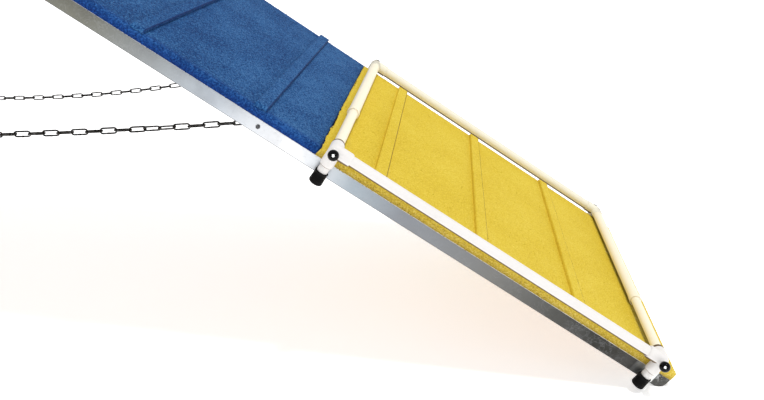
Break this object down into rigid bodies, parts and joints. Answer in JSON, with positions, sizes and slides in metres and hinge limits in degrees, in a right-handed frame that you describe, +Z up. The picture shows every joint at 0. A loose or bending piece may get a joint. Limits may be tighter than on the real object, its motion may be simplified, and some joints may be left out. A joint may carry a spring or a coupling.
{
  "type": "dog agility a-frame",
  "caption": "Folding dog agility A-frame: slatted rubber-coated ramps hinged at the ridge and tied by chains, with a lift-off white pipe box over a yellow contact zone.",
  "frame": {"origin": "on the floor under the middle of the ridge", "axes": "+X down the ramp that carries the pipe box, +Y to the far side, +Z up"},
  "size_m": [4.6094, 1.0421, 1.5358],
  "materials": {
    "deck_plywood": "sanded plywood, sealed edges",
    "blue_rubber": "bonded blue rubber granules, matt",
    "yellow_rubber": "bonded yellow rubber granules, matt",
    "rail_aluminium": "mill finish, scuffed",
    "foot_metal": "dark cast aluminium, worn",
    "hinge_steel": "zinc plated",
    "fastener_steel": "bright zinc plated",
    "chain_steel": "dull zinc plated, darkened",
    "white_pipe": "white extruded pipe, satin gloss",
    "white_fitting": "white moulded fitting, gloss",
    "plug_plastic": "moulded, matt",
    "cap_rubber": "black moulded rubber",
    "knob_plastic": "black, polished"
  },
  "bodies": {
    "right_ramp": {"right_deck_board": "deck_plywood", "right_blue_coat": "blue_rubber", "right_yellow_coat": "yellow_rubber", "right_blue_slats": "blue_rubber", "right_yellow_slats": "yellow_rubber", "right_near_rail": "rail_aluminium", "right_far_rail": "rail_aluminium", "right_cross_members": "rail_aluminium", "right_near_foot": "foot_metal", "right_far_foot": "foot_metal", "right_hinge_plates": "hinge_steel", "right_hinge_bolts": "fastener_steel", "right_hinge_nuts": "fastener_steel", "right_chain_bolts": "fastener_steel", "right_chain_nuts": "fastener_steel", "right_deck_screws": "fastener_steel", "hinge_rod": "hinge_steel", "rod_washers": "fastener_steel", "rod_pins": "fastener_steel"},
    "left_ramp": {"left_deck_board": "deck_plywood", "left_blue_coat": "blue_rubber", "left_yellow_coat": "yellow_rubber", "left_blue_slats": "blue_rubber", "left_yellow_slats": "yellow_rubber", "left_near_rail": "rail_aluminium", "left_far_rail": "rail_aluminium", "left_cross_members": "rail_aluminium", "left_near_foot": "foot_metal", "left_far_foot": "foot_metal", "left_hinge_plates": "hinge_steel", "left_hinge_bolts": "fastener_steel", "left_hinge_nuts": "fastener_steel", "left_chain_bolts": "fastener_steel", "left_chain_nuts": "fastener_steel", "left_deck_screws": "fastener_steel"},
    "near_chain_right_end": {"near_chain_right_end": "chain_steel"},
    "near_chain_right_middle": {"near_chain_right_middle": "chain_steel"},
    "near_chain_left_end": {"near_chain_left_end": "chain_steel"},
    "near_chain_left_middle": {"near_chain_left_middle": "chain_steel"},
    "far_chain_right_end": {"far_chain_right_end": "chain_steel"},
    "far_chain_right_middle": {"far_chain_right_middle": "chain_steel"},
    "far_chain_left_end": {"far_chain_left_end": "chain_steel"},
    "far_chain_left_middle": {"far_chain_left_middle": "chain_steel"},
    "contact_box": {"near_side_pipe": "white_pipe", "far_side_pipe": "white_pipe", "top_bar_pipes": "white_pipe", "low_bar_pipes": "white_pipe", "bar_couplings": "white_fitting", "bar_plugs": "plug_plastic", "top_near_corner": "white_fitting", "top_far_corner": "white_fitting", "low_near_corner": "white_fitting", "low_far_corner": "white_fitting", "box_legs": "white_pipe", "leg_caps": "cap_rubber"},
    "top_near_knob": {"top_near_knob": "knob_plastic"},
    "top_far_knob": {"top_far_knob": "knob_plastic"},
    "low_near_knob": {"low_near_knob": "knob_plastic"},
    "low_far_knob": {"low_far_knob": "knob_plastic"}
  },
  "joints": [
    {"name": "ridge_fold", "type": "hinge", "parent": "right_ramp", "child": "left_ramp", "pos_m": [0, 0, 1.44169], "axis": [0, -1, 0], "range_deg": [0, 114], "deforming": ["near_chain_right_end", "near_chain_right_middle", "near_chain_left_end", "near_chain_left_middle", "far_chain_right_end", "far_chain_right_middle", "far_chain_left_end", "far_chain_left_middle"]},
    {"name": "near_chain_right_swing", "type": "hinge", "parent": "right_ramp", "child": "near_chain_right_end", "pos_m": [1.25694, -0.405, 0.67074], "axis": [0, -1, 0], "range_deg": [0, 141.7]},
    {"name": "near_chain_right_bend", "type": "hinge", "parent": "near_chain_right_end", "child": "near_chain_right_middle", "pos_m": [0.62568, -0.405, 0.62105], "axis": [0, -1, 0], "range_deg": [0, 3.02]},
    {"name": "near_chain_left_swing", "type": "hinge", "parent": "left_ramp", "child": "near_chain_left_end", "pos_m": [-1.25694, -0.405, 0.67074], "axis": [0, 1, 0], "range_deg": [0, 141.7]},
    {"name": "near_chain_left_bend", "type": "hinge", "parent": "near_chain_left_end", "child": "near_chain_left_middle", "pos_m": [-0.65494, -0.405, 0.62261], "axis": [0, 1, 0], "range_deg": [0, 3.02]},
    {"name": "far_chain_right_swing", "type": "hinge", "parent": "right_ramp", "child": "far_chain_right_end", "pos_m": [1.25694, 0.405, 0.67074], "axis": [0, -1, 0], "range_deg": [0, 133.69]},
    {"name": "far_chain_right_bend", "type": "hinge", "parent": "far_chain_right_end", "child": "far_chain_right_middle", "pos_m": [0.57571, 0.405, 0.53027], "axis": [0, -1, 0], "range_deg": [0, 8.03]},
    {"name": "far_chain_left_swing", "type": "hinge", "parent": "left_ramp", "child": "far_chain_left_end", "pos_m": [-1.25694, 0.405, 0.67074], "axis": [0, 1, 0], "range_deg": [0, 133.69]},
    {"name": "far_chain_left_bend", "type": "hinge", "parent": "far_chain_left_end", "child": "far_chain_left_middle", "pos_m": [-0.67801, 0.405, 0.5445], "axis": [0, 1, 0], "range_deg": [0, 8.03]},
    {"name": "box_lift", "type": "slide", "parent": "right_ramp", "child": "contact_box", "axis": [0.5446, 0, 0.8387], "range_m": [0, 0.25]},
    {"name": "top_near_knob_turn", "type": "hinge", "parent": "contact_box", "child": "top_near_knob", "pos_m": [1.44253, -0.47455, 0.62235], "axis": [0, -1, 0], "continuous": true},
    {"name": "top_far_knob_turn", "type": "hinge", "parent": "contact_box", "child": "top_far_knob", "pos_m": [1.44253, 0.4757, 0.62235], "axis": [0, 1, 0], "continuous": true},
    {"name": "low_near_knob_turn", "type": "hinge", "parent": "contact_box", "child": "low_near_knob", "pos_m": [2.25352, -0.47455, 0.09569], "axis": [0, -1, 0], "continuous": true},
    {"name": "low_far_knob_turn", "type": "hinge", "parent": "contact_box", "child": "low_far_knob", "pos_m": [2.25352, 0.4757, 0.09569], "axis": [0, 1, 0], "continuous": true}
  ],
  "couplings": [
    {"joint": "near_chain_right_swing", "follows": "ridge_fold", "ratio": 1.2429},
    {"joint": "near_chain_right_bend", "follows": "ridge_fold", "ratio": 0.026366},
    {"joint": "near_chain_left_swing", "follows": "ridge_fold", "ratio": 1.2429},
    {"joint": "near_chain_left_bend", "follows": "ridge_fold", "ratio": 0.026366},
    {"joint": "far_chain_right_swing", "follows": "ridge_fold", "ratio": 1.1726},
    {"joint": "far_chain_right_bend", "follows": "ridge_fold", "ratio": 0.070312},
    {"joint": "far_chain_left_swing", "follows": "ridge_fold", "ratio": 1.1726},
    {"joint": "far_chain_left_bend", "follows": "ridge_fold", "ratio": 0.070312}
  ]
}
